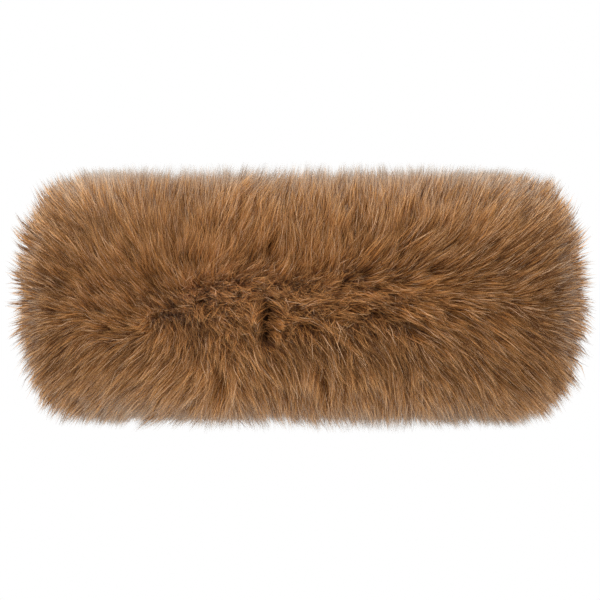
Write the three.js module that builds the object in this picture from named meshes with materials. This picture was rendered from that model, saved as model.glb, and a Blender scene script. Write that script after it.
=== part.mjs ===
// A fur head wrap: one loop of long-haired fur on its own hide, in the shape it has round a head.
//
// Millimetres, +Z up, the front faces -Y. The origin is the centre of the head opening, at the band's mid-height.
// The hide is a thin wall that follows the head. The fur stands on its outer face and past both its edges, in
// locks that fan up, out and down, so a section across the band looks like a D with its flat side to the head.

import * as THREE from "three";

// The head opening, across the hide's edges
const HEAD_BREADTH = 152;
const HEAD_LENGTH = 190;

// The hide's wall
const HIDE_HEIGHT = 50;
const HIDE_THICKNESS = 2.5;
const HIDE_CROWN = 3; // how far the wall's middle stands out beyond its edges
const HIDE_COLUMNS = 72;
const HIDE_ROWS = 6;

// The fur's outline across the band: half a superellipse, whose centre lies RIDGE_OUT from the inner edge
const FUR_HEIGHT = 113;
const FUR_DEPTH = 51; // from the hide's inner edge to the furthest tips
const RIDGE_OUT = 8;
const FUR_SQUARENESS = 2.9;
const FUR_INNER_ANGLE = THREE.MathUtils.degToRad(117); // where the outline ends above the opening

// The locks
const FUR_GAP = 0.4; // between the fur's base and the hide
const FUR_OVER_EDGE = 6; // how far above and below the hide the fur's side towards the head reaches straight
const FUR_COLUMNS = 96;
const FUR_ROWS = 21;
const BASE_SHARE = 0.78; // where locks part, as a share of the way from the hide to the outline
const RAGGED_SHARE = 0.05; // how much lock tips differ in reach

// How the locks lean along the band, in mm at their tips, measured from the front centre towards +X.
// They part at PARTING_ALONG and lean away from it, most of all just right of the front.
const PARTING_ALONG = -22;
const LEAN_LEFT = 6;
const LEAN_RIGHT = 9;
const LEAN_REACH = 45; // how far from the parting the lean is fully grown
const LEAN_FADES = 210; // how far from the front centre it has gone again

// Dents where the locks part and the pile is open, on the front: place, radius and depth
const DENTS = [
  { along: -6, up: -9, radius: 10, depth: 9 },
  { along: -20, up: -40, radius: 9, depth: 7 },
  { along: -34, up: 45, radius: 8, depth: 5 },
  { along: -84, up: 6, radius: 10, depth: 6 },
  { along: 84, up: -12, radius: 11, depth: 7 },
  { along: 7, up: -13, radius: 10, depth: 6 },
  { along: 25, up: 24, radius: 9, depth: 5 },
];

const HIDE_COLOUR = 0xb48a62;
const FUR_COLOUR = 0x8a5d3c;

const headLine = new THREE.EllipseCurve(
  0, 0, HEAD_BREADTH / 2, HEAD_LENGTH / 2, -Math.PI / 2, (3 * Math.PI) / 2
);
headLine.arcLengthDivisions = 720;
const LOOP_LENGTH = headLine.getLength();

// A point beside the head line: turn is 0 at the front centre and grows towards +X, out is away from the head.
function place(turn, out, up) {
  const share = ((turn % 1) + 1) % 1;
  const at = headLine.getPointAt(share);
  const along = headLine.getTangentAt(share);
  return new THREE.Vector3(at.x + out * along.y, at.y - out * along.x, up);
}

// Distance along the head line from the front centre, positive towards +X
function alongFromFront(turn) {
  return (turn > 0.5 ? turn - 1 : turn) * LOOP_LENGTH;
}

// A repeatable number from -1 to 1 for a column and a row
function jitter(column, row) {
  const wave = Math.sin(column * 127.1 + row * 311.7) * 43758.5453;
  return 2 * (wave - Math.floor(wave)) - 1;
}

// A closed band through rings of points, one ring for each section round the loop. Each four-sided cell is
// split through the corners whose column and row add up to an even number, so the others can stand up as tips.
function bandGeometry(sections) {
  const columns = sections.length;
  const rows = sections[0].length;
  const index = [];
  for (let column = 0; column < columns; column += 1) {
    for (let row = 0; row < rows; row += 1) {
      const nextColumn = (column + 1) % columns;
      const nextRow = (row + 1) % rows;
      const a = column * rows + row;
      const b = nextColumn * rows + row;
      const c = nextColumn * rows + nextRow;
      const d = column * rows + nextRow;
      if ((column + row) % 2 === 0) index.push(a, b, c, a, c, d);
      else index.push(a, b, d, b, c, d);
    }
  }
  const positions = sections.flat().flatMap((point) => point.toArray());
  const geometry = new THREE.BufferGeometry();
  geometry.setAttribute("position", new THREE.Float32BufferAttribute(positions, 3));
  geometry.setIndex(index);
  geometry.computeVertexNormals();
  return geometry;
}

// The hide's inner face stands out from the head line by this much at a height
function hideOut(up) {
  return HIDE_CROWN * (1 - (2 * up / HIDE_HEIGHT) ** 2);
}

// The hide across the band, as (out, up): down its inner face, round the lower edge, up the outer face
function hideProfile() {
  const edge = HIDE_THICKNESS / 2;
  const inner = [];
  for (let row = 0; row <= HIDE_ROWS; row += 1) {
    const up = (0.5 - row / HIDE_ROWS) * (HIDE_HEIGHT - edge);
    inner.push(new THREE.Vector2(hideOut(up), up));
  }
  const outer = inner.map((point) => new THREE.Vector2(point.x + HIDE_THICKNESS, point.y)).reverse();
  const bottom = new THREE.Vector2(edge, -HIDE_HEIGHT / 2);
  const top = new THREE.Vector2(edge, HIDE_HEIGHT / 2);
  return [...inner, bottom, ...outer, top];
}

// The line that the lock tips reach across the band, from the lower inner side round to the upper one
function tipLine() {
  const steps = 96;
  const power = 2 / FUR_SQUARENESS;
  const points = [];
  for (let step = 0; step <= steps; step += 1) {
    const angle = FUR_INNER_ANGLE * ((2 * step) / steps - 1);
    const reach = Math.cos(angle) > 0 ? FUR_DEPTH - RIDGE_OUT : RIDGE_OUT;
    points.push(new THREE.Vector2(
      RIDGE_OUT + reach * Math.sign(Math.cos(angle)) * Math.abs(Math.cos(angle)) ** power,
      (FUR_HEIGHT / 2) * Math.sign(Math.sin(angle)) * Math.abs(Math.sin(angle)) ** power
    ));
  }
  return new THREE.SplineCurve(points);
}

// Where a lock grows from, as (out, up): across runs from 0 at the hide's lower edge to 1 at its upper edge
function rootAt(across) {
  const up = (across - 0.5) * HIDE_HEIGHT;
  return new THREE.Vector2(hideOut(up) + HIDE_THICKNESS + FUR_GAP, up);
}

// How far a lock's tip lies along the band from its root
function leanAt(turn) {
  const along = alongFromFront(turn);
  const fromParting = along - PARTING_ALONG;
  const most = fromParting < 0 ? LEAN_LEFT : LEAN_RIGHT;
  const grown = Math.tanh(fromParting / LEAN_REACH);
  const left = Math.max(0, 1 - Math.abs(along) / LEAN_FADES);
  return most * grown * left;
}

// How deep the pile is pressed open at a place on its outside
function dentAt(turn, up) {
  const along = alongFromFront(turn);
  return DENTS.reduce((most, dent) => {
    const away = Math.hypot(along - dent.along, up - dent.up) / dent.radius;
    return Math.max(most, dent.depth * Math.exp(-away * away));
  }, 0);
}

const tips = tipLine();

// A point of the fur's outside in one column and row: the tip of a lock, or the hollow between four locks
function furPoint(column, row) {
  const turn = column / FUR_COLUMNS;
  const across = row / (FUR_ROWS - 1);
  const root = rootAt(across);
  const tip = tips.getPointAt(across);
  const isTip = (column + row) % 2 === 1;
  const share = isTip ? 1 + RAGGED_SHARE * (jitter(column, row) - 1) : BASE_SHARE;
  const length = root.distanceTo(tip);
  const reach = share - dentAt(turn, tip.y) / length;
  const at = root.clone().lerp(tip, reach);
  const shift = leanAt(turn) * reach ** 2;
  return place(turn + shift / LOOP_LENGTH, at.x, at.y);
}

// The fur's base, as (out, up): over the hide's upper edge, down its outer face and under the lower edge
function basePoints() {
  const edgeUp = HIDE_HEIGHT / 2 + FUR_GAP;
  const face = [0.99, 0.8, 0.6, 0.4, 0.2, 0.01].map((across) => rootAt(across));
  const over = [new THREE.Vector2(FUR_GAP, edgeUp + FUR_OVER_EDGE), new THREE.Vector2(FUR_GAP, edgeUp)];
  const corner = new THREE.Vector2(HIDE_THICKNESS + FUR_GAP, edgeUp);
  const mirrored = (point) => new THREE.Vector2(point.x, -point.y);
  return [...over, corner, ...face, mirrored(corner), ...over.map(mirrored).reverse()];
}

function hideBand() {
  const profile = hideProfile();
  const sections = Array.from({ length: HIDE_COLUMNS }, (_, column) =>
    profile.map((point) => place(column / HIDE_COLUMNS, point.x, point.y))
  );
  const material = new THREE.MeshStandardMaterial({ color: HIDE_COLOUR, roughness: 0.9, metalness: 0 });
  const mesh = new THREE.Mesh(bandGeometry(sections), material);
  mesh.name = "hide_band";
  return mesh;
}

function furPile() {
  const base = basePoints();
  const sections = Array.from({ length: FUR_COLUMNS }, (_, column) => [
    ...Array.from({ length: FUR_ROWS }, (_, row) => furPoint(column, row)),
    ...base.map((point) => place(column / FUR_COLUMNS, point.x, point.y)),
  ]);
  const material = new THREE.MeshStandardMaterial({ color: FUR_COLOUR, roughness: 0.8, metalness: 0 });
  const mesh = new THREE.Mesh(bandGeometry(sections), material);
  mesh.name = "fur_pile";
  return mesh;
}

const headWrap = new THREE.Group();
headWrap.add(hideBand(), furPile());

export default headWrap;
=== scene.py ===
"""The looks of a fur head wrap: long camel-brown fur, hair by hair, on a loop of suede.

Sizes are in millimetres until a mesh is made, and MM turns them into metres. A place on the loop is given by
along, the distance round the hide's inner edge from the front centre towards +X, by out, the distance away
from the head there, and by up. A place on the outline of the pile is given by across, which runs from 0 at
its lower inner side to 1 at its upper one. The front is seen along +Y, with x sideways and z upwards.
"""

import math
from collections import namedtuple

import bpy
import numpy as np
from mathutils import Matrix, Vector


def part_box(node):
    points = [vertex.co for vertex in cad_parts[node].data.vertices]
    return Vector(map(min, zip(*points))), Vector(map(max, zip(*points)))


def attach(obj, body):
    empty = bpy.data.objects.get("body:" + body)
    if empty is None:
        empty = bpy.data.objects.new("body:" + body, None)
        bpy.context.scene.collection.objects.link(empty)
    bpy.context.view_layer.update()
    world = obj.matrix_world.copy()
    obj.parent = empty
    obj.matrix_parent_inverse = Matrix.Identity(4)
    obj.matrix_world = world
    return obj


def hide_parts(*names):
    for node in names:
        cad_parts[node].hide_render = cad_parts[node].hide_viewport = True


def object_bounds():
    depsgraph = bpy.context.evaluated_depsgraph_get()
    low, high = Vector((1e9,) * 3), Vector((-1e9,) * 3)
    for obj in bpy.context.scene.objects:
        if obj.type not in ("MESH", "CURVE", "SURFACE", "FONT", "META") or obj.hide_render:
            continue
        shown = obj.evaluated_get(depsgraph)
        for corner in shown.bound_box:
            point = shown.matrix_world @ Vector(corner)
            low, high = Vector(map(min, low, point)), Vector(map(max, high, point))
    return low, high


MM = 0.001
SEED = 11
TINY = 1e-9

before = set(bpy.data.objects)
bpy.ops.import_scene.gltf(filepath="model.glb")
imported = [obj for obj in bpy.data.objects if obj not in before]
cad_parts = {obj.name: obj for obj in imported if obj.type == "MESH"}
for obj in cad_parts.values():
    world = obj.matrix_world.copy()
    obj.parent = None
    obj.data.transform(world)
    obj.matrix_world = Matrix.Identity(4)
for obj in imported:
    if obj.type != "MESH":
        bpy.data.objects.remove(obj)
cad_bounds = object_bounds()
hide_low, hide_high = (np.array(corner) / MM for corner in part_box("hide_band"))

# ---------------------------------------------------------------- the loop that the fur grows on

HIDE_THICKNESS = 2.5
HIDE_CROWN = 3.0
HEAD_HALF_BREADTH = hide_high[0] - HIDE_THICKNESS - HIDE_CROWN
HEAD_HALF_LENGTH = hide_high[1] - HIDE_THICKNESS - HIDE_CROWN
HIDE_HEIGHT = hide_high[2] - hide_low[2]


def head_line(steps=4096):
    """Points, tangents and distances round the hide's inner edge, from the front centre towards +X."""
    angle = np.linspace(-0.5 * math.pi, 1.5 * math.pi, steps + 1)
    point = np.stack([HEAD_HALF_BREADTH * np.cos(angle), HEAD_HALF_LENGTH * np.sin(angle)], 1)
    tangent = np.stack([-HEAD_HALF_BREADTH * np.sin(angle), HEAD_HALF_LENGTH * np.cos(angle)], 1)
    speed = np.linalg.norm(tangent, axis=1)
    step = 0.5 * (speed[1:] + speed[:-1]) * np.diff(angle)
    return point, tangent / speed[:, None], np.concatenate([[0.0], np.cumsum(step)])


LINE_POINT, LINE_TANGENT, LINE_LENGTH = head_line()
LOOP = LINE_LENGTH[-1]


def place(along, out, up):
    """Points in the row frame, in millimetres, for arrays of loop coordinates."""
    where = np.mod(along, LOOP)
    x, y = (np.interp(where, LINE_LENGTH, LINE_POINT[:, axis]) for axis in (0, 1))
    tangent_x, tangent_y = (np.interp(where, LINE_LENGTH, LINE_TANGENT[:, axis]) for axis in (0, 1))
    return np.stack([x + out * tangent_y, y - out * tangent_x, up], -1)


# ---------------------------------------------------------------- the outline of the fur across the band

FUR_HALF_HEIGHT = 56.5
FUR_DEPTH = 51.0
RIDGE_OUT = 8.0
SQUARENESS = 2.9
INNER_ANGLE = math.radians(117)
SLOPE_STEP = 0.005


def tip_line(steps=400):
    """(out, up) of the hair tips from the lower inner side to the upper one, and distances along them."""
    angle = np.linspace(-INNER_ANGLE, INNER_ANGLE, steps + 1)
    cosine, sine = np.cos(angle), np.sin(angle)
    reach = np.where(cosine > 0, FUR_DEPTH - RIDGE_OUT, RIDGE_OUT)
    out = RIDGE_OUT + reach * np.sign(cosine) * np.abs(cosine) ** (2 / SQUARENESS)
    up = FUR_HALF_HEIGHT * np.sign(sine) * np.abs(sine) ** (2 / SQUARENESS)
    length = np.concatenate([[0.0], np.cumsum(np.hypot(np.diff(out), np.diff(up)))])
    return out, up, length


TIP_OUT, TIP_UP, TIP_LENGTH = tip_line()
OUTLINE = TIP_LENGTH[-1]


def tip_at(across):
    """(out, up) on the outline."""
    where = np.clip(across, 0, 1) * OUTLINE
    return np.interp(where, TIP_LENGTH, TIP_OUT), np.interp(where, TIP_LENGTH, TIP_UP)


def tip_slope(across):
    """Which way the outline runs at across, as (out, up) of length 1."""
    before, after = tip_at(across - SLOPE_STEP), tip_at(across + SLOPE_STEP)
    out, up = after[0] - before[0], after[1] - before[1]
    length = np.hypot(out, up) + TINY
    return out / length, up / length


def root_at(across):
    """(out, up) on the hide's outer face."""
    up = (across - 0.5) * HIDE_HEIGHT
    return HIDE_CROWN * (1 - (2 * up / HIDE_HEIGHT) ** 2) + HIDE_THICKNESS, up


# ---------------------------------------------------------------- places on the front

Comb = namedtuple("Comb", "x z angle lie")
Dent = namedtuple("Dent", "x z wide tall depth")
Patch = namedtuple("Patch", "x z wide tall tint grow", defaults=(0, 0))
Spot = namedtuple("Spot", "x z wide tall")
# Each has its middle at (x, z) in the front view. All but a comb fade out at about wide and tall from there

# Which way the hair is combed: at each place, the angle that its ends point at, in degrees from +X towards
# +Z, and how far they lie over that way
COMBS = [
    Comb(-112, 44, 130, 3.9),
    Comb(-80, 44, 101, 5.9),
    Comb(-58, 44, 78, 6.5),
    Comb(-40, 44, 86, 5.9),
    Comb(-20, 44, 71, 6.5),
    Comb(8, 44, 82, 7.2),
    Comb(35, 44, 88, 5.9),
    Comb(65, 44, 73, 5.9),
    Comb(100, 44, 52, 4.5),
    Comb(-112, 26, 138, 3.9),
    Comb(-80, 26, 117, 5.9),
    Comb(-58, 26, 90, 6.5),
    Comb(-40, 26, 90, 5.9),
    Comb(-20, 26, 59, 6.5),
    Comb(8, 26, 74, 6.5),
    Comb(35, 26, 65, 6.5),
    Comb(65, 26, 46, 6.5),
    Comb(100, 26, 38, 4.5),
    Comb(-112, 12, 144, 2.4),
    Comb(-80, 12, 134, 4.2),
    Comb(-58, 12, 120, 3.5),
    Comb(-40, 12, 90, 3),
    Comb(-20, 12, 42, 3.2),
    Comb(8, 12, 66, 2.5),
    Comb(35, 12, 24, 2.5),
    Comb(65, 12, 22, 3),
    Comb(100, 12, 32, 4.2),
    Comb(-112, 0, 152, 2),
    Comb(-80, 0, 134, 3),
    Comb(-58, 0, 130, 3),
    Comb(-40, 0, -45, 2.6),
    Comb(-20, 0, -45, 2.4),
    Comb(8, 0, 6, 2),
    Comb(35, 0, -30, 2),
    Comb(65, 0, -10, 2.5),
    Comb(92, 0, -4, 3),
    Comb(115, 0, 25, 2),
    Comb(-112, -14, 196, 2.4),
    Comb(-80, -14, 165, 3.6),
    Comb(-58, -14, 290, 3.5),
    Comb(-40, -14, -62, 3.5),
    Comb(-20, -14, -80, 3),
    Comb(-8, -12, -42, 3),
    Comb(8, -14, -42, 2.2),
    Comb(35, -14, -46, 2.5),
    Comb(65, -14, -32, 3.2),
    Comb(95, -14, -38, 4.2),
    Comb(115, -14, -12, 2.4),
    Comb(-110, -28, 226, 3.9),
    Comb(-80, -28, 226, 5.9),
    Comb(-58, -28, 236, 5.9),
    Comb(-40, -28, 284, 5.9),
    Comb(-20, -28, -58, 5.9),
    Comb(8, -28, -76, 6.5),
    Comb(38, -28, -70, 6.5),
    Comb(68, -28, -48, 5.9),
    Comb(104, -28, -44, 4.5),
    Comb(-108, -44, 226, 3.9),
    Comb(-80, -44, 228, 5.9),
    Comb(-58, -44, 232, 5.9),
    Comb(-40, -44, 253, 5.9),
    Comb(-20, -44, -68, 5.9),
    Comb(8, -44, -80, 6.5),
    Comb(38, -44, -86, 5.9),
    Comb(68, -44, -68, 5.9),
    Comb(104, -44, -46, 4.5),
]
COMB_REACH = 7.0
# Where the combs weigh less than this together, or lie over less, the hair is left straight
COMB_LEAST = 1e-6

# Where the pile is pressed open, with painted shade darkening its depth. The first two are the slit
DENTS = [
    Dent(-14, -14.5, 1.7, 6, 24),
    Dent(-13, -7.5, 2, 4, 20),
    Dent(-35, -41, 2, 5, 6),
    Dent(10, -38, 1.5, 3, 5),
    Dent(-12, -38, 1.2, 2.5, 6),
    Dent(-12, 24, 1.2, 3, 4),
    Dent(45, 25, 1.2, 3, 4),
    Dent(29, 12, 2, 1, 3),
    Dent(60, 13, 2, 1.5, 4),
    Dent(97, 16, 3, 1.2, 3),
    Dent(88, -35, 1.5, 3, 3),
    Dent(51, -18, 2.5, 1.5, 4),
    Dent(69, -8, 2.5, 1.5, 3),
    Dent(0, -6, 1, 1.3, 6),
    Dent(12, -7, 1, 1.3, 5),
    Dent(17, -10, 2, 1, 7),
    Dent(4, -13, 2.3, 0.8, 7),
    Dent(7, -17, 1.6, 1, 4),
    Dent(25, -5, 2, 0.8, 6),
    Dent(24, -13, 1.6, 0.8, 6),
    Dent(33, -8, 1, 1.3, 6),
]
# How much wider the hairs are pushed aside round a dent than they are pressed in
PUSH_REACH = 3.0

# Where the hair is tinted lighter or darker than elsewhere, by tint, and where it is longer or shorter, by
# grow. The strips and the ends paint light and shade; the other places set only a lighter or darker tint
PATCHES = [
    # strips right across the front, with painted light and shade: lighter above the middle, darker towards
    # the bottom and a little at the top edge
    Patch(-10, 33, 100, 17, tint=0.05),
    Patch(0, -57, 130, 7, tint=-0.14),
    Patch(0, -50, 130, 14, tint=-0.03, grow=-0.008),
    Patch(0, -38, 130, 14, tint=-0.09),
    Patch(0, 54, 130, 12, tint=-0.06, grow=0.008),
    # the two ends: painted shade, where the front turns away from the light, more on the right
    Patch(-117, 0, 10, 45, tint=-0.42),
    Patch(121, 0, 11, 50, tint=-0.7),
    # lighter places
    Patch(-92, 8, 22, 12, tint=0.06),
    Patch(-45, 34, 42, 14, tint=0.18),
    Patch(-38, 3, 15, 12, tint=0.32),
    Patch(-36, -40, 14, 12, tint=0.12),
    Patch(-33, 8, 14, 6, tint=0.55),
    Patch(-20, 18, 22, 12, tint=0.16),
    Patch(-13, -44, 22, 12, tint=0.12),
    Patch(-12, 0, 10, 10, tint=0.12),
    Patch(10, -44, 40, 8, tint=0.13),
    Patch(19, 36, 12, 11, tint=0.16),
    Patch(35, 8, 9, 6, tint=0.2),
    Patch(38, 8, 12, 8, tint=0.16),
    # darker places
    Patch(-92, -20, 22, 10, tint=-0.26),
    Patch(-88, 44, 16, 8, tint=-0.12),
    Patch(-86, -26, 16, 9, tint=-0.16),
    Patch(2, -27, 12, 9, tint=-0.18),
    Patch(8, -28, 24, 10, tint=-0.12),
    Patch(35, -34, 60, 8, tint=-0.13),
    Patch(38, -17, 30, 6, tint=-0.28),
    Patch(45, -24, 42, 9, tint=-0.24),
    Patch(52, 34, 10, 14, tint=-0.14),
    Patch(68, 1, 13, 8, tint=-0.16),
    Patch(78, 22, 26, 10, tint=-0.28),
    Patch(88, -40, 16, 8, tint=-0.15),
    Patch(90, 8, 14, 10, tint=-0.2),
    Patch(92, -12, 16, 12, tint=-0.22),
    Patch(101, 34, 11, 8, tint=-0.16),
    Patch(102, -10, 9, 9, tint=-0.16),
    # the corners and the ends, where it is longer or shorter
    Patch(-122, -5, 12, 40, grow=-0.035),
    Patch(-106, 44, 24, 16, grow=-0.08),
    Patch(-100, -50, 40, 16, grow=-0.12),
    Patch(106, 48, 18, 12, grow=-0.1),
    Patch(112, -48, 16, 12, grow=0.08),
    Patch(124, 5, 10, 36, grow=-0.025),
]

# Where the pile is ruffled
RUFFLE = Spot(5, -5, 52, 16)


def combed(x, z, straight):
    """How far the ends of the hair at (x, z) run sideways and up, as seen from the front.

    straight is how far they would run if the hair grew straight out.
    """
    weight = np.stack([np.exp(-((x - c.x) ** 2 + (z - c.z) ** 2) / (2 * COMB_REACH**2)) for c in COMBS])
    weight /= weight.sum(0) + COMB_LEAST
    side = np.tensordot([c.lie * math.cos(math.radians(c.angle)) for c in COMBS], weight, 1)
    rise = np.tensordot([c.lie * math.sin(math.radians(c.angle)) for c in COMBS], weight, 1)
    lie = np.hypot(side, rise) + COMB_LEAST
    longer = np.maximum(0, straight[0] * side + straight[1] * rise) / lie
    return np.stack([side, rise]) * (1 + longer / lie)


def dented(x, z):
    """How deep the pile is pressed in at (x, z) in the front view, and how far it is pushed aside there."""
    depth = np.zeros_like(x)
    push = np.zeros((2, len(x)))
    for dent in DENTS:
        side, rise = x - dent.x, z - dent.z
        far = (side / dent.wide) ** 2 + (rise / dent.tall) ** 2
        depth = np.maximum(depth, dent.depth * np.exp(-far**2))
        push += np.stack([side, rise * dent.wide / dent.tall]) * np.exp(-far / PUSH_REACH)
    return depth, push


def depth_at(points):
    """How deep the pile is pressed in at the points of hairs."""
    depth, _ = dented(points[..., 0].ravel(), points[..., 2].ravel())
    return depth.reshape(points.shape[:2])


def pressed_along(points):
    """How deep the pile is pressed in at each point of the hairs, or halfway to the next point."""
    here, halfway = depth_at(points), depth_at(0.5 * (points[:, 1:] + points[:, :-1]))
    here[:, 1:] = np.maximum(here[:, 1:], halfway)
    here[:, :-1] = np.maximum(here[:, :-1], halfway)
    return here


def bell(x, z, spot):
    """1 in the middle of a spot on the front, and e times less at its wide or its tall from there."""
    return np.exp(-(((x - spot.x) / spot.wide) ** 2) - ((z - spot.z) / spot.tall) ** 2)


def patched(x, z):
    """How much lighter the hair is tinted at (x, z) in the front view, with painted light and shade among
    it, and by what share it is longer.
    """
    tint, grow = np.zeros((2, len(x)))
    for patch in PATCHES:
        near = bell(x, z, patch)
        tint += patch.tint * near
        grow += patch.grow * near
    return tint, grow


# ---------------------------------------------------------------- clumps of hair

# Out in the pile, hairs stand about this much wider apart than on the hide's inner edge
FAN = 1.25
# Where the centre of a clump may lie in its cell of the grid
JITTER = (0.1, 0.9)


class Clumps:
    """Hairs gather in clumps. Their centres lie in a jittered grid over the loop and the outline."""

    def __init__(self, rng, spacing):
        self.columns = max(3, round(LOOP * FAN / spacing))
        self.rows = max(3, round(OUTLINE / spacing))
        shape = (self.columns, self.rows)
        self.along = (np.arange(self.columns)[:, None] + rng.uniform(*JITTER, shape)) * LOOP / self.columns
        self.across = (np.arange(self.rows)[None, :] + rng.uniform(*JITTER, shape)) / self.rows
        count = self.columns * self.rows
        self.shift = rng.normal(0, 1, (2, count))
        self.reach = rng.normal(0, 1, count)
        self.tint = rng.normal(0, 1, count)
        self.turn = rng.normal(0, 1, count)
        self.twist = rng.normal(0, 1, (2, count))

    def nearest(self, along, across):
        """The index of the centre nearest to each hair, and the way to it along and across."""
        column = np.floor(along / LOOP * self.columns).astype(int)
        row = np.floor(across * self.rows).astype(int)
        best = np.full(along.shape, np.inf)
        index = np.zeros(along.shape, int)
        way_along = np.zeros(along.shape)
        way_across = np.zeros(along.shape)
        for column_step in (-1, 0, 1):
            for row_step in (-1, 0, 1):
                i = np.mod(column + column_step, self.columns)
                j = np.clip(row + row_step, 0, self.rows - 1)
                to_along = np.mod(self.along[i, j] - along + LOOP / 2, LOOP) - LOOP / 2
                to_across = self.across[i, j] - across
                distance = np.hypot(to_along * FAN, to_across * OUTLINE)
                nearer = distance < best
                best = np.where(nearer, distance, best)
                index = np.where(nearer, i * self.rows + j, index)
                way_along = np.where(nearer, to_along, way_along)
                way_across = np.where(nearer, to_across, way_across)
        return index, way_along, way_across


# ---------------------------------------------------------------- what the pile is like at a hair's tip

# The small way that directions and slopes are measured over
NUDGE = 1.0
# front is full where the loop runs sideways by this share, and facing where the outline rises by this share
FRONT_TURN = 0.5
FACE_SLOPE = 0.3
# A dent this deep is no longer ruffled
RUFFLE_DENT = 4.0
# Where these begin and are full: in y the front half, and in x its sides and its ends, which get painted
# shade
FORE = (60.0, 10.0)
SIDE = (109.0, 123.0)
SIDE_MIDDLE = -1.0
SIDE_BEHIND = 0.65
ENDS = (88.0, 116.0)
# rim grows with the height by this power, to these values at the top and at the bottom. The bottom value is
# lower, as the rim's tips are painted paler, as if lit through, and less light falls below. It is this much
# less where the outline runs back towards the head, and all of that from this slope on
EDGE_POWER = 2.5
EDGE_ABOVE = 1.0
EDGE_BELOW = 0.8
EDGE_INSIDE = 0.45
EDGE_SLOPE = 0.6


def fade(value, start, end):
    """0 up to start, 1 from end on, and a smooth step between. It may run downwards."""
    share = np.clip((value - start) / (end - start), 0, 1)
    return share * share * (3 - 2 * share)


class Tips:
    """Where hairs have their tips, and what the pile is like there.

    dent, push, lighter and longer come from the tables. The others run from 0 to 1: front and back for the
    two halves of the loop, facing for the outer face of the front, ruffle where the pile is ruffled, side
    and ends for the ends of what the front view shows, and rim for these and for its other edges.
    """

    def __init__(self, along, across):
        self.along = np.mod(along, LOOP)
        self.across = across
        self.out, self.up = tip_at(across)
        self.slope_out, self.slope_up = tip_slope(across)
        here = place(self.along, self.out, self.up)
        ahead = place(self.along + NUDGE, self.out, self.up) - here
        self.x, self.z = here[:, 0], here[:, 2]
        self.front = fade(ahead[:, 0] / np.linalg.norm(ahead, axis=1), 0, FRONT_TURN)
        self.back = 1 - self.front
        self.facing = self.front**2 * fade(self.slope_up, 0, FACE_SLOPE)
        depth, self.push = dented(self.x, self.z)
        self.dent = depth * self.facing
        self.lighter, self.longer = patched(self.x, self.z)
        smoothed = np.clip(self.dent / RUFFLE_DENT, 0, 1)
        self.ruffle = self.front * bell(self.x, self.z, RUFFLE) * (1 - smoothed)
        fore = fade(here[:, 1], *FORE)
        self.side = fore * fade(np.abs(self.x - SIDE_MIDDLE), *SIDE)
        # ends sets painted shade, darkening the tint where the front turns away from the light
        self.ends = fore * fade(np.abs(self.x), *ENDS)
        # rim is where the tips are painted paler and greyer, painted light through the sparse tips; it also
        # sets how loose and uneven the hair is there
        edge = np.abs(self.z / FUR_HALF_HEIGHT) ** EDGE_POWER * np.where(self.z > 0, EDGE_ABOVE, EDGE_BELOW)
        edge *= 1 - EDGE_INSIDE * fade(self.slope_up, 0, -EDGE_SLOPE)
        self.rim = np.maximum(edge, self.side * (SIDE_BEHIND + (1 - SIDE_BEHIND) * self.front))


# A value on the plain front, and what is added to it where the pile is ruffled, at its rims and behind
Change = namedtuple("Change", "plain ruffle rim back", defaults=(0, 0, 0))


def over_pile(change, tips):
    """The value that a Change has at each tip."""
    return change.plain + change.ruffle * tips.ruffle + change.rim * tips.rim + change.back * tips.back


# ---------------------------------------------------------------- how light a hair is

# The tint runs from 0 for the darkest hair to 1 for the lightest, and above 0.94 for the pale ones. It
# spreads about its middle, and less so towards the top. Painted shade darkens the ends of the front and the
# dents, and painted light lifts the ruffled middle and the back
TINT_MIDDLE = 0.46
TINT_SPREAD = 0.42
TINT_RANGE = (0.01, 0.92)
TINT_CONTRAST = Change(1.2, ruffle=0.35)
CONTRAST_RISE = -0.1
PAINTED_LIGHT_TINT = Change(0, ruffle=0.14, back=0.1)
PAINTED_ENDS_SHADE = -0.15
PAINTED_DENT_TINT = -0.2
TINT_DENT_DEPTH = 12.0
PALE_SHARE = Change(0.08, ruffle=-0.04)
PALE_TINT = 0.99
# The shade rises by a power from 0 at the root to SHADE at the tip, and is greyest from 0.92 on. The darker
# root is partly the hair's own and partly painted shade deep in the pile, the grey at the rims is painted
# light through the tips, with a little of it spread over the back, and the dents get painted shade
SHADE = Change(0.70, ruffle=-0.05, rim=0.34)
SHADE_BACK = 0.08
SHADE_UNEVEN = 0.04
# a gentler power in the ruffled middle and behind keeps more of each hair light there: painted light
SHADE_POWER = Change(1.0, ruffle=-0.4, back=-0.2)
PAINTED_DENT_SHADE = 0.8
SHADE_DENT_DEPTH = 18.0


def tint_of(hair, tips):
    """The tint of each hair before that of its clumps."""
    contrast = over_pile(TINT_CONTRAST, tips) + CONTRAST_RISE * tips.z / FUR_HALF_HEIGHT
    tint = TINT_MIDDLE + (hair.tint - TINT_MIDDLE) * contrast
    # the patches, and painted light that lifts the shade of the ruffled middle and of the back
    tint += tips.front * tips.lighter + over_pile(PAINTED_LIGHT_TINT, tips)
    # painted shade at the ends of the front and in the dents
    return tint + PAINTED_ENDS_SHADE * tips.ends + PAINTED_DENT_TINT * np.clip(tips.dent / TINT_DENT_DEPTH, 0, 1)


def shade_of(rng, tips, share, pressed):
    """The shade at each step of the hairs."""
    shade = over_pile(SHADE, tips) + SHADE_BACK * tips.back * (1 - tips.rim)
    shade += SHADE_UNEVEN * rng.normal(0, 1, len(tips.along))
    shade = np.minimum(1, shade[:, None] * share ** over_pile(SHADE_POWER, tips)[:, None])
    # painted shade where the pile is pressed in
    return shade * (1 - PAINTED_DENT_SHADE * np.clip(pressed / SHADE_DENT_DEPTH, 0, 1))


# ---------------------------------------------------------------- how a hair lies

# Hairs as they are sown: all but steps and frizz are arrays with a value for each
Hair = namedtuple("Hair", "along across length width steps gather frizz tint")
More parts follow.
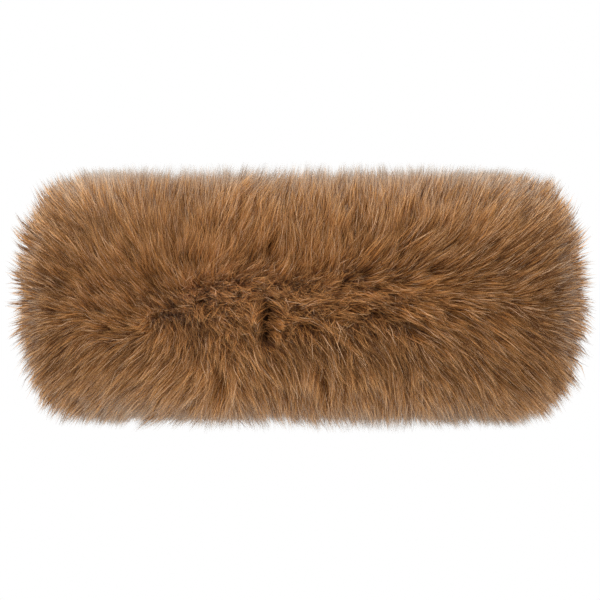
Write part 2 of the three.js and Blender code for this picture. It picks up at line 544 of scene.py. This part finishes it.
# How hairs follow the clumps of one size, and how much more they do where the pile is ruffled
Level = namedtuple("Level", "clumps gather stray lean curl uneven tint ruffle")
# Hairs as they grew, in arrays
Growth = namedtuple("Growth", "over gather reach stiff curl tint")

# A hair bends over at this share of its length, and later on the outer face
STIFF = Change(0.6, ruffle=0.1)
STIFF_FACE = 0.25
# Its root keeps off the hide's edges, and its end keeps this much of what it rises past the outline
ROOT_RANGE = (0.01, 0.99)
END_PAST = 0.5
# How far it lies over is found in a few careful rounds, from where its end points, and has a limit
END_FROM = 0.8
LIE_ROUNDS = 4
LIE_CARE = 0.03
LIE_MOST = 24.0
# Behind it lies backwards along the loop, and up and down from a line above the middle
BACK_LIE = 12.0
BACK_TURN = 1.6
BACK_SPREAD = 7.0
BACK_MIDDLE = 6.0
BACK_SOFT = 25.0
# How hairs differ from each other, by themselves
STRAY = Change(0.07, ruffle=0.245)
LEAN = Change(0.6, ruffle=0.6)
CURL = Change(0.2, ruffle=0.8)
SIZE_UNEVEN = 0.12
# How much they gather in their clumps
LOOSE = Change(0.7, ruffle=-0.15, rim=0.4)
# How far they reach
REACH_MOST = 1.1
RIM_UNEVEN = Change(1.0, rim=1.0)
SIDE_SHORTER = 0.04


def hair_curve(along, across, over, reach, gather, stiff, t):
    """(along, out, up) at the steps t of hairs whose tips lie at (along, across), in mm from the loop.

    over is how far the root lies from below the tip, along the loop and along the outline. Each hair rises
    from its root towards the outline, bends over at stiff times its length, and ends at reach times the way
    to its tip. gather moves the tip.
    """
    root_across = np.clip(across - over[1] / OUTLINE, *ROOT_RANGE)
    root_out, root_up = root_at(root_across)
    above_out, above_up = tip_at(root_across)
    bend_out = root_out + stiff * reach * (above_out - root_out)
    bend_up = root_up + stiff * reach * (above_up - root_up)
    end_out, end_up = tip_at(across + gather[1] / OUTLINE)
    end_out = root_out + (end_out - root_out) * reach
    end_up = root_up + (end_up - root_up) * reach
    end_up -= np.sign(end_up) * (1 - END_PAST) * np.maximum(np.abs(end_up) - FUR_HALF_HEIGHT, 0)
    a, b, c = (1 - t) ** 2, 2 * t * (1 - t), t**2
    out = a * root_out[:, None] + b * bend_out[:, None] + c * end_out[:, None]
    up = a * root_up[:, None] + b * bend_up[:, None] + c * end_up[:, None]
    return (along - over[0])[:, None] + (over[0] + gather[0])[:, None] * c, out, up


def end_seen(along, across, over, stiff):
    """How far hairs run in x and in z over the last part of their length."""
    still = np.zeros((2, len(along)))
    curve = hair_curve(along, across, over, np.ones(len(along)), still, stiff, np.array([[END_FROM, 1.0]]))
    points = place(*curve)
    return (points[:, 1] - points[:, 0])[:, [0, 2]].T


def lie_over(along, across, x, z, stiff):
    """How far hairs with tips at (x, z) on the front lie over, for their ends to run as they are combed."""
    over = np.zeros((2, len(along)))
    wanted = combed(x, z, end_seen(along, across, over, stiff))
    for _ in range(LIE_ROUNDS):
        seen = end_seen(along, across, over, stiff)
        change = np.zeros_like(over)
        for axis in (0, 1):
            nudged = over.copy()
            nudged[axis] += NUDGE
            gain = (end_seen(along, across, nudged, stiff)[axis] - seen[axis]) / NUDGE
            change[axis] = (wanted[axis] - seen[axis]) * gain / (gain**2 + LIE_CARE)
        over += change
        over *= np.minimum(1, LIE_MOST / (np.hypot(*over) + TINY))
    return over


def lie_of(tips, stiff):
    """How far hairs lie over: as combed on the front, and behind backwards and away from the middle."""
    over = np.zeros((2, len(stiff)))
    seen = tips.front > 0
    where = (values[seen] for values in (tips.along, tips.across, tips.x, tips.z, stiff))
    over[:, seen] = tips.front[seen] * lie_over(*where)
    backwards = np.tanh(BACK_TURN * np.sin(2 * math.pi * tips.along / LOOP))
    upwards = np.abs(tips.slope_up) * np.tanh((tips.up - BACK_MIDDLE) / BACK_SOFT)
    over[0] += tips.back * BACK_LIE * backwards
    over[1] += tips.back * BACK_SPREAD * upwards
    return over


def turned(way, angle):
    """Ways along two axes, turned by an angle."""
    cosine, sine = np.cos(angle), np.sin(angle)
    return np.stack([way[0] * cosine - way[1] * sine, way[0] * sine + way[1] * cosine])


def grown(rng, hair, tips, levels):
    """How each hair lies, ends and curls, and its tint: by its place, by itself and with its clumps."""
    count = len(hair.along)
    stray = over_pile(STRAY, tips) * rng.normal(0, 1, count)
    lean = over_pile(LEAN, tips) * rng.normal(0, 1, (2, count))
    gather = tips.facing * tips.push * np.stack([np.ones(count), tips.slope_up])
    curl = over_pile(CURL, tips) * rng.normal(0, 1, (2, count))
    size = 1 + SIZE_UNEVEN * rng.normal(0, 1, count)
    guard = np.maximum(0, hair.length - 1)
    reach = hair.length - tips.ruffle * guard
    tint = tint_of(hair, tips)
    for level in levels:
        clumps = level.clumps
        centre, to_along, to_across = clumps.nearest(tips.along, tips.across)
        more = 1 + level.ruffle * tips.ruffle
        stray += level.stray * more * clumps.turn[centre]
        lean += level.lean * more * clumps.shift[:, centre]
        curl += level.curl * more * clumps.twist[:, centre]
        loose = over_pile(LOOSE, tips) * hair.gather
        gather += level.gather * loose * np.stack([to_along, to_across * OUTLINE])
        size += SIZE_UNEVEN * clumps.reach[centre]
        reach *= 1 + level.uneven * over_pile(RIM_UNEVEN, tips) * clumps.reach[centre]
        tint += level.tint * clumps.tint[centre]

    pale = rng.uniform(0, 1, count) < over_pile(PALE_SHARE, tips)
    tint = np.where(pale, PALE_TINT, np.clip(tint, *TINT_RANGE))
    reach *= 1 - SIDE_SHORTER * tips.side * rng.uniform(0, 1, count)
    reach = np.minimum(reach * (1 + tips.front * tips.longer), REACH_MOST)
    root_out, root_up = root_at(tips.across)
    reach *= 1 - tips.front * tips.dent / np.hypot(tips.out - root_out, tips.up - root_up)
    stiff = over_pile(STIFF, tips) + STIFF_FACE * np.abs(tips.slope_up)
    over = size * turned(lie_of(tips, stiff), stray) + lean
    return Growth(over, gather, reach, stiff, curl, tint)


# ---------------------------------------------------------------- the course of a hair

# The core fills this share of the way from the hide to the tips, and falls off by a power to nothing at the
# inner edges. Its face lies a little over that, and off the hide by a gap. The hairs start a little below it
CORE_SHARE = 0.45
CORE_FALL = 6
CORE_OVER = 0.02
CORE_GAP = 0.4
HAIR_BELOW_CORE = 0.05
# The steps along a hair are a little uneven, and closer together towards its tip
STEP_JITTER = 0.3
STEP_POWER = 1.3
# The slit is the pair of deepest dents. Hairs from round it that cross it start beyond the last of these
# shares at which they are over it, so that they don't bridge it
SLIT_X = -14.0
SLIT_Z = -12.0
SLIT_REACH = 26.0
SLIT_EDGE = 4.0
SLIT_DEPTH = 8.0
SLIT_SHARES = np.linspace(0.4, 0.96, 15)
# A curl bows a hair sideways between its root and its tip, and frizz adds waves that grow towards the tip
BOW_SIZE = 0.33
FRIZZ = Change(1.0, ruffle=1.0)
WAVES = (0.8, 2.2)
WAVE_OUT = 0.5
OUT_LEAST = 0.6
# The hairs over a dent give way by this share of its depth
DENT_GIVE = 0.7
HAIR_WIDER = Change(1.0, ruffle=0.75)


def core_share(across):
    """How much of the way from the hide to the hair's tips is filled, less towards the inner edges."""
    return CORE_SHARE * (1 - np.abs(2 * across - 1) ** CORE_FALL)


def start_of(tips, growth):
    """The share of its length at which each hair starts: under the core's face, or beyond the slit."""
    start = np.maximum(0, core_share(tips.across) - HAIR_BELOW_CORE)
    near = np.hypot(tips.x - SLIT_X, tips.z - SLIT_Z) < SLIT_REACH
    near &= (tips.facing > 0) & (tips.dent < SLIT_EDGE)
    curve = hair_curve(tips.along[near], tips.across[near], growth.over[:, near], growth.reach[near],
                       growth.gather[:, near], growth.stiff[near], SLIT_SHARES[None, :])
    over_slit = depth_at(place(*curve)) > SLIT_DEPTH
    start[near] = np.maximum(start[near], np.max(np.where(over_slit, SLIT_SHARES, 0), axis=1))
    return start[:, None]


def hair_lines(rng, hair, levels):
    """The points of hairs, as an array of hair, step and axis, and the outward direction at each of them.

    With them come each hair's tint, its shade at each step, and its width.
    """
    count = len(hair.along)
    share = np.linspace(0, 1, hair.steps + 1) + np.zeros((count, 1))
    share[:, 1:-1] += rng.uniform(-STEP_JITTER, STEP_JITTER, (count, hair.steps - 1)) / hair.steps
    tips = Tips(hair.along, hair.across)
    growth = grown(rng, hair, tips, levels)
    t = 1 - (1 - start_of(tips, growth)) * (1 - share) ** STEP_POWER
    along, out, up = hair_curve(tips.along, tips.across, growth.over, growth.reach, growth.gather,
                                growth.stiff, t)

    # curl and frizz
    bow = (t**5 - t**2) / BOW_SIZE
    along = along + growth.curl[0][:, None] * bow
    up = up + (growth.curl[1] * tips.slope_up)[:, None] * bow
    out = out + (growth.curl[1] * tips.slope_out)[:, None] * bow
    begin = rng.uniform(0, 2 * math.pi, (3, count, 1))
    frizz = hair.frizz * over_pile(FRIZZ, tips)
    size = frizz[:, None] * rng.normal(0, 1, (3, count, 1)) * t
    turn = rng.uniform(*WAVES, (count, 1)) * 2 * math.pi * t
    along = along + size[0] * np.sin(turn + begin[0])
    up = up + size[1] * np.sin(turn + begin[1])
    out = np.maximum(out + WAVE_OUT * size[2] * np.sin(turn + begin[2]), OUT_LEAST)

    # the dents, and the outward direction, which also points up and down near the upper and lower edges
    pressed = pressed_along(place(along, out, up)) * tips.facing[:, None]
    out = out - DENT_GIVE * pressed * share
    points = place(along, out, up)
    away = place(along, out + 1, up) - points
    away[..., 2] += (up / FUR_HALF_HEIGHT) ** 3
    shade = shade_of(rng, tips, share, pressed)
    return points, away, growth.tint, shade, hair.width * over_pile(HAIR_WIDER, tips)


# ---------------------------------------------------------------- meshes

# A hair has this share of its width at its root, soon has all of it, and tapers to its tip by this power
HAIR_BASE = 0.75
HAIR_TAPER = 2.2


def ribbon_mesh(name, points, away, width, tint, shade, roll):
    """One mesh of ribbons that taper to a point. Its UV map holds tint, and shade at each step."""
    count, steps = points.shape[0], points.shape[1] - 1
    direction = np.gradient(points, axis=1)
    direction /= np.linalg.norm(direction, axis=2)[..., None] + TINY
    flat = np.cross(direction, away)
    flat /= np.linalg.norm(flat, axis=2)[..., None] + TINY
    other = np.cross(flat, direction)
    side = np.cos(roll)[:, None, None] * flat + np.sin(roll)[:, None, None] * other
    t = np.linspace(0, 1, steps + 1)
    taper = np.minimum(1.0, HAIR_BASE + t) * (1 - t**HAIR_TAPER)
    half = 0.5 * width[:, None, None] * taper[None, :, None] * side
    left, right = points - half, points + half

    # each hair's vertices are left and right of every step but the last, and then its tip
    body = np.stack([left[:, :-1], right[:, :-1]], 2).reshape(count, 2 * steps, 3)
    vertices = np.concatenate([body, points[:, -1:]], 1).reshape(-1, 3) * MM
    start = np.arange(count)[:, None] * (2 * steps + 1)
    corners = []
    for step in range(steps - 1):
        a, b, c, d = (start + 2 * step + n for n in (0, 1, 3, 2))
        corners.append(np.concatenate([a, b, c, a, c, d], 1).reshape(count, 2, 3))
    last = start + 2 * (steps - 1)
    corners.append(np.concatenate([last, last + 1, last + 2], 1).reshape(count, 1, 3))
    faces = np.concatenate(corners, 1).reshape(-1, 3)

    mesh = bpy.data.meshes.new(name)
    mesh.vertices.add(len(vertices))
    mesh.vertices.foreach_set("co", vertices.ravel())
    mesh.loops.add(faces.size)
    mesh.loops.foreach_set("vertex_index", faces.ravel())
    mesh.polygons.add(len(faces))
    mesh.polygons.foreach_set("loop_start", np.arange(0, faces.size, 3))
    mesh.polygons.foreach_set("use_smooth", np.ones(len(faces), bool))
    mesh.update(calc_edges=True)
    v = np.concatenate([np.repeat(shade[:, :-1], 2, axis=1), shade[:, -1:]], 1).ravel()
    u = np.repeat(tint, 2 * steps + 1)
    layer = mesh.uv_layers.new(name="OFBake")
    layer.data.foreach_set("uv", np.stack([u, v], 1)[faces.ravel()].ravel())
    mesh.validate()
    return mesh


def core_mesh(name, columns=160, rows=24):
    """A closed body under the hair, so that nothing shows through the pile."""
    across = np.linspace(0, 1, rows)
    root_out, root_up = root_at(across)
    tip_out, tip_up = tip_at(across)
    share = core_share(across) + CORE_OVER
    out = np.concatenate([root_out + CORE_GAP + (tip_out - root_out) * share, root_out[::-1] + CORE_GAP])
    up = np.concatenate([root_up + (tip_up - root_up) * share, root_up[::-1]])
    ring = len(out)
    along = np.linspace(0, LOOP, columns, endpoint=False)
    points = place(along[:, None], out[None, :], np.broadcast_to(up, (columns, ring)))
    faces = []
    for column in range(columns):
        here, following = column * ring, (column + 1) % columns * ring
        for i in range(ring):
            j = (i + 1) % ring
            faces.append((here + i, following + i, following + j, here + j))
    mesh = bpy.data.meshes.new(name)
    mesh.from_pydata((points.reshape(-1, 3) * MM).tolist(), [], faces)
    mesh.update()
    return mesh


# ---------------------------------------------------------------- materials

# The colours of the darkest and the lightest hair at four shades, from its root, darker partly by painted
# shade, to its greyed tip, which the rims reach as painted light
SHADES = (0.0, 0.45, 0.74, 0.92)
DARK_HAIR = ((0.04, 0.014, 0.005), (0.072, 0.025, 0.008), (0.155, 0.064, 0.021), (0.28, 0.235, 0.19))
LIGHT_HAIR = ((0.20, 0.080, 0.022), (0.51, 0.213, 0.058), (0.91, 0.50, 0.20), (0.68, 0.615, 0.55))
PALE_HAIR = (0.88, 0.66, 0.46, 1)
PALE_STOPS = [(0.94, (0, 0, 0)), (0.98, (0.9, 0.9, 0.9))]
HAIR_THROUGH = 0.26


def new_material(name):
    """A new material, its nodes, its links and its shader."""
    material = bpy.data.materials.new(name)
    material.use_nodes = True
    tree = material.node_tree
    return material, tree.nodes, tree.links, tree.nodes["Principled BSDF"]


def colour_ramp(nodes, stops):
    """A ramp through stops, each a position and a colour."""
    ramp = nodes.new("ShaderNodeValToRGB")
    elements = ramp.color_ramp.elements
    while len(elements) < len(stops):
        elements.new(0.5)
    for element, (position, colour) in zip(elements, stops):
        element.position = position
        element.color = (*colour, 1)
    return ramp


def noise(nodes, links, scale, detail, roughness):
    """A noise over the object's own coordinates."""
    coordinates = nodes.new("ShaderNodeTexCoord")
    texture = nodes.new("ShaderNodeTexNoise")
    texture.inputs["Scale"].default_value = scale
    texture.inputs["Detail"].default_value = detail
    texture.inputs["Roughness"].default_value = roughness
    links.new(coordinates.outputs["Object"], texture.inputs["Vector"])
    return texture


def bump(nodes, links, shader, texture, strength, distance):
    """Raises a texture on a shader's surface. The distance is in metres."""
    node = nodes.new("ShaderNodeBump")
    node.inputs["Strength"].default_value = strength
    node.inputs["Distance"].default_value = distance
    links.new(texture.outputs["Fac"], node.inputs["Height"])
    links.new(node.outputs[0], shader.inputs["Normal"])


def fur_material():
    """Hair that is coloured by its tint and shade, with a little light passing through it."""
    material, nodes, links, shader = new_material("fur")
    uv = nodes.new("ShaderNodeUVMap")
    uv.uv_map = "OFBake"
    split = nodes.new("ShaderNodeSeparateXYZ")
    links.new(uv.outputs["UV"], split.inputs[0])
    tint, shade = split.outputs["X"], split.outputs["Y"]

    dark = colour_ramp(nodes, list(zip(SHADES, DARK_HAIR)))
    light_hair = colour_ramp(nodes, list(zip(SHADES, LIGHT_HAIR)))
    links.new(shade, dark.inputs[0])
    links.new(shade, light_hair.inputs[0])
    mix = nodes.new("ShaderNodeMix")
    mix.data_type = "RGBA"
    links.new(tint, mix.inputs["Factor"])
    links.new(dark.outputs[0], mix.inputs["A"])
    links.new(light_hair.outputs[0], mix.inputs["B"])

    # pale hairs, which are palest at their tips
    pale = colour_ramp(nodes, PALE_STOPS)
    links.new(tint, pale.inputs[0])
    near_tip = nodes.new("ShaderNodeMath")
    near_tip.operation = "MULTIPLY"
    links.new(pale.outputs[0], near_tip.inputs[0])
    links.new(shade, near_tip.inputs[1])
    coat = nodes.new("ShaderNodeMix")
    coat.data_type = "RGBA"
    links.new(near_tip.outputs[0], coat.inputs["Factor"])
    links.new(mix.outputs["Result"], coat.inputs["A"])
    coat.inputs["B"].default_value = PALE_HAIR

    links.new(coat.outputs["Result"], shader.inputs["Base Color"])
    shader.inputs["Roughness"].default_value = 0.55
    shader.inputs["Specular IOR Level"].default_value = 0.06
    shader.inputs["Sheen Weight"].default_value = 0.12
    shader.inputs["Sheen Roughness"].default_value = 0.5
    shader.inputs["Sheen Tint"].default_value = (1.0, 0.85, 0.7, 1)
    through = nodes.new("ShaderNodeBsdfTranslucent")
    links.new(coat.outputs["Result"], through.inputs["Color"])
    blend = nodes.new("ShaderNodeMixShader")
    blend.inputs[0].default_value = HAIR_THROUGH
    links.new(shader.outputs[0], blend.inputs[1])
    links.new(through.outputs[0], blend.inputs[2])
    links.new(blend.outputs[0], nodes["Material Output"].inputs["Surface"])
    return material


def underwool_material():
    """Matted underwool: dark, with a fibrous unevenness."""
    material, nodes, links, shader = new_material("underwool")
    fibres = noise(nodes, links, scale=900.0, detail=4.0, roughness=0.6)
    colour = colour_ramp(nodes, [(0.3, (0.07, 0.026, 0.008)), (0.7, (0.22, 0.09, 0.032))])
    links.new(fibres.outputs["Fac"], colour.inputs[0])
    links.new(colour.outputs[0], shader.inputs["Base Color"])
    shader.inputs["Roughness"].default_value = 1.0
    shader.inputs["Specular IOR Level"].default_value = 0.0
    bump(nodes, links, shader, fibres, strength=0.8, distance=0.002)
    return material


def suede_material():
    """The flesh side of the hide: sueded tan leather with a short nap, cloudy colour and fine pores."""
    material, nodes, links, shader = new_material("suede")
    clouds = noise(nodes, links, scale=45.0, detail=3.0, roughness=0.55)
    colour = colour_ramp(nodes, [(0.30, (0.36, 0.22, 0.125)), (0.55, (0.47, 0.30, 0.175)),
                                 (0.75, (0.56, 0.38, 0.24))])
    links.new(clouds.outputs["Fac"], colour.inputs[0])
    nap = noise(nodes, links, scale=2600.0, detail=5.0, roughness=0.7)
    shade = colour_ramp(nodes, [(0.32, (0.66, 0.64, 0.62)), (0.68, (1.0, 1.0, 1.0))])
    links.new(nap.outputs["Fac"], shade.inputs[0])
    mix = nodes.new("ShaderNodeMix")
    mix.data_type = "RGBA"
    mix.blend_type = "MULTIPLY"
    mix.inputs["Factor"].default_value = 1.0
    links.new(colour.outputs[0], mix.inputs["A"])
    links.new(shade.outputs[0], mix.inputs["B"])
    links.new(mix.outputs["Result"], shader.inputs["Base Color"])
    shader.inputs["Roughness"].default_value = 0.95
    shader.inputs["Specular IOR Level"].default_value = 0.15
    shader.inputs["Sheen Weight"].default_value = 0.4
    shader.inputs["Sheen Roughness"].default_value = 0.4
    shader.inputs["Sheen Tint"].default_value = (1.0, 0.86, 0.72, 1)
    bump(nodes, links, shader, nap, strength=0.35, distance=0.0006)
    return material


# ---------------------------------------------------------------- the pieces

# Steps that spread points evenly over two axes: the inverse of the plastic number, and its square
ALONG_STEP = 0.7548776662
ACROSS_STEP = 0.5698402910
# A few guard hairs are longer than the rest, and all hairs are a little uneven
LONG_SHARE = 0.06
LONG_RANGE = (0.02, 0.09)
SHORT_MOST = 0.14
WIDTH_RANGE = (0.6, 1.3)
GATHER_RANGE = (0.5, 1.0)
ROLL_MOST = 1.0
# How far along the loop the front's two sectors reach, and the one that thickens its middle
FRONT = 110.0
FRONT_MIDDLE = 88.0
MIDDLE_POWER = 1.7

rng = np.random.default_rng(SEED)
levels = [
    Level(Clumps(rng, spacing=14.0), gather=0.10, stray=0.08, lean=0.6, curl=0.1, uneven=0.012,
          tint=0.05, ruffle=0.0),
    Level(Clumps(rng, spacing=4.5), gather=0.36, stray=0.08, lean=0.6, curl=0.2, uneven=0.022,
          tint=0.08, ruffle=0.8),
    Level(Clumps(rng, spacing=1.25), gather=0.62, stray=0.06, lean=0.4, curl=0.25, uneven=0.020,
          tint=0.22, ruffle=4.0),
]
fur = fur_material()


def fur_piece(name, mesh, material):
    """A piece of the fur that rides on the one body."""
    piece = bpy.data.objects.new(name, mesh)
    bpy.context.collection.objects.link(piece)
    mesh.materials.append(material)
    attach(piece, "root")
    return piece


def spread(start, end, count, rim, middle):
    """Tips spread over a stretch of the loop, and over the outline, its two edges or its middle."""
    step = np.arange(count) + rng.uniform(0, 1)
    along = start + (end - start) * np.mod(step * ALONG_STEP, 1)
    across = np.mod(step * ACROSS_STEP, 1)
    if rim:
        across = np.where(across < 0.5, 2 * rim * across, 1 - 2 * rim * (1 - across))
    if middle < 1:
        aside = 2 * across - 1
        across = 0.5 + 0.5 * middle * np.sign(aside) * np.abs(aside) ** MIDDLE_POWER
    return along, across


def sector(name, start, end, count, length, width, steps=2, gather=1.0, frizz=0.3, rim=0, middle=1.0):
    """Hair between two places on the loop. length is 1 for hair that reaches the outline.

    rim is the share of the outline, at each of its two edges, that the hair keeps to, and 0 spreads it over
    all of it. middle is the share of the outline that it covers, and below 1 it is thickest in the middle.
    """
    along, across = spread(start, end, count, rim, middle)
    longer = np.where(rng.uniform(0, 1, count) < LONG_SHARE, rng.uniform(*LONG_RANGE, count), 0)
    length = length * (1 - SHORT_MOST * rng.uniform(0, 1, count) ** 2 + longer)
    width = width * rng.uniform(*WIDTH_RANGE, count)
    gather = gather * rng.uniform(*GATHER_RANGE, count)
    tint = rng.normal(TINT_MIDDLE, TINT_SPREAD, count)
    hair = Hair(along, across, length, width, steps, gather, frizz, tint)
    points, away, tint, shade, width = hair_lines(rng, hair, levels)
    roll = rng.uniform(-ROLL_MOST, ROLL_MOST, count)
    return fur_piece(name, ribbon_mesh(name, points, away, width, tint, shade, roll), fur)


parts = [
    sector("fur_front_left", -FRONT, 0, 65000, length=1.0, width=0.23),
    sector("fur_front_right", 0, FRONT, 65000, length=1.0, width=0.23),
    sector("fur_front_middle", -FRONT_MIDDLE, FRONT_MIDDLE, 62000, length=0.985, width=0.23, middle=0.5),
    sector("fur_back_left", -LOOP / 2, -FRONT, 45000, length=1.0, width=0.36),
    sector("fur_back_right", FRONT, LOOP / 2, 45000, length=1.0, width=0.36),
    sector("fur_edges", -LOOP / 2, LOOP / 2, 9000, length=0.94, width=0.6, steps=3, gather=0.6, frizz=0.5,
           rim=0.045),
    sector("underfur", -LOOP / 2, LOOP / 2, 14000, length=0.86, width=0.7, gather=0.5, frizz=0.5),
]
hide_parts("fur_pile")
fur_piece("fur_core", core_mesh("fur_core"), underwool_material())

hide = bpy.data.objects["hide_band"]
hide.data.materials.clear()
hide.data.materials.append(suede_material())

# ---------------------------------------------------------------- stage, light and camera, in metres

FLOOR_DROP = 0.22
FLOOR_RADIUS = 2.4
LENS = 405.5
CAMERA_PLACE = (-0.0004, -3.0, -0.0011)


def stage():
    """A pale floor well below the wrap, out of the camera's sight."""
    floor_z = cad_bounds[0][2] - FLOOR_DROP
    bpy.ops.mesh.primitive_circle_add(vertices=96, radius=FLOOR_RADIUS, fill_type="NGON",
                                      location=(0, 0, floor_z))
    floor = bpy.context.object
    floor.name = "floor"
    material, _, _, shader = new_material("floor")
    shader.inputs["Base Color"].default_value = (0.65, 0.65, 0.65, 1)
    shader.inputs["Roughness"].default_value = 0.9
    floor.data.materials.append(material)


def light(name, at, size, power):
    """A round soft light that points at the middle of the wrap."""
    lamp = bpy.data.lights.new(name, "AREA")
    lamp.shape = "DISK"
    lamp.size = size
    lamp.energy = power
    holder = bpy.data.objects.new(name, lamp)
    holder.location = at
    holder.rotation_euler = (-Vector(at)).to_track_quat("-Z", "Y").to_euler()
    bpy.context.collection.objects.link(holder)


def white_world():
    """Plain white all round."""
    world = bpy.data.worlds.new("studio")
    bpy.context.scene.world = world
    world.use_nodes = True
    background = world.node_tree.nodes["Background"]
    background.inputs["Color"].default_value = (1, 1, 1, 1)
    background.inputs["Strength"].default_value = 1.0


def camera():
    """A long lens, level with the middle of the front."""
    data = bpy.data.cameras.new("camera")
    holder = bpy.data.objects.new("camera", data)
    bpy.context.collection.objects.link(holder)
    holder.location = CAMERA_PLACE
    holder.rotation_euler = (math.radians(90), 0, 0)
    data.lens = LENS
    data.clip_end = 50
    bpy.context.scene.camera = holder


stage()
light("key", (-0.3, -1.6, 2.4), size=1.2, power=46)
light("fill", (1.4, -1.6, 0.8), size=1.4, power=4)
light("front", (-0.5, -3.1, -0.2), size=1.6, power=40)
light("back", (0.6, 2.4, 1.2), size=1.4, power=12)
white_world()
camera()
bpy.context.scene.view_settings.view_transform = "Standard"
bpy.context.scene.cycles.use_denoising = True
bpy.context.scene.cycles.denoising_prefilter = "NONE"
